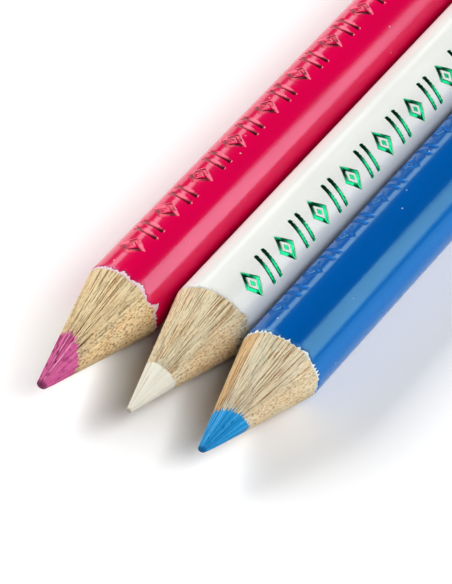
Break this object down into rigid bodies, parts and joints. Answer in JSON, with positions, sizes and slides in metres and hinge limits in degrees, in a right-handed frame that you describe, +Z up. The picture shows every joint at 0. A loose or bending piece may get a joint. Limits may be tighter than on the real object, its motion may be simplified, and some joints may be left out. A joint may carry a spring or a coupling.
{
  "type": "tailors chalk pencil set",
  "caption": "Sharpened round chalk pencils for marking cloth, pink, white and blue, side by side: glued wood slats round a chalk core, undercoat, glossy lacquer, foil-stamped marks.",
  "frame": {"origin": "on the table, under the middle of the row of pencils", "axes": "+X along the pencils towards their back ends, so the points face -X; +Y across the row towards the pink pencil; +Z up from the table"},
  "size_m": [0.1774, 0.0226, 0.0075],
  "materials": {
    "pink_lacquer": "glossy lacquer",
    "white_lacquer": "glossy lacquer",
    "blue_lacquer": "glossy lacquer",
    "undercoat": "thin matt primer",
    "casing_wood": "bare, cut by a sharpener",
    "pink_chalk": "matt, chalky",
    "white_chalk": "matt, chalky",
    "blue_chalk": "matt, chalky",
    "pink_foil": "stamped metallic foil",
    "green_foil": "stamped metallic foil",
    "blue_foil": "stamped metallic foil"
  },
  "bodies": {
    "white_pencil": {"white_front_slat": "casing_wood", "white_back_slat": "casing_wood", "white_chalk_core": "white_chalk", "white_undercoat": "undercoat", "white_lacquer": "white_lacquer", "white_stamped_marks": "green_foil"},
    "pink_pencil": {"pink_front_slat": "casing_wood", "pink_back_slat": "casing_wood", "pink_chalk_core": "pink_chalk", "pink_undercoat": "undercoat", "pink_lacquer": "pink_lacquer", "pink_stamped_marks": "pink_foil"},
    "blue_pencil": {"blue_front_slat": "casing_wood", "blue_back_slat": "casing_wood", "blue_chalk_core": "blue_chalk", "blue_undercoat": "undercoat", "blue_lacquer": "blue_lacquer", "blue_stamped_marks": "blue_foil"}
  },
  "joints": [
    {"name": "pink_away", "type": "slide", "parent": "white_pencil", "child": "pink_pencil", "axis": [0, 1, 0], "range_m": [0, 0.06]},
    {"name": "blue_away", "type": "slide", "parent": "white_pencil", "child": "blue_pencil", "axis": [0, -1, 0], "range_m": [0, 0.06]}
  ]
}
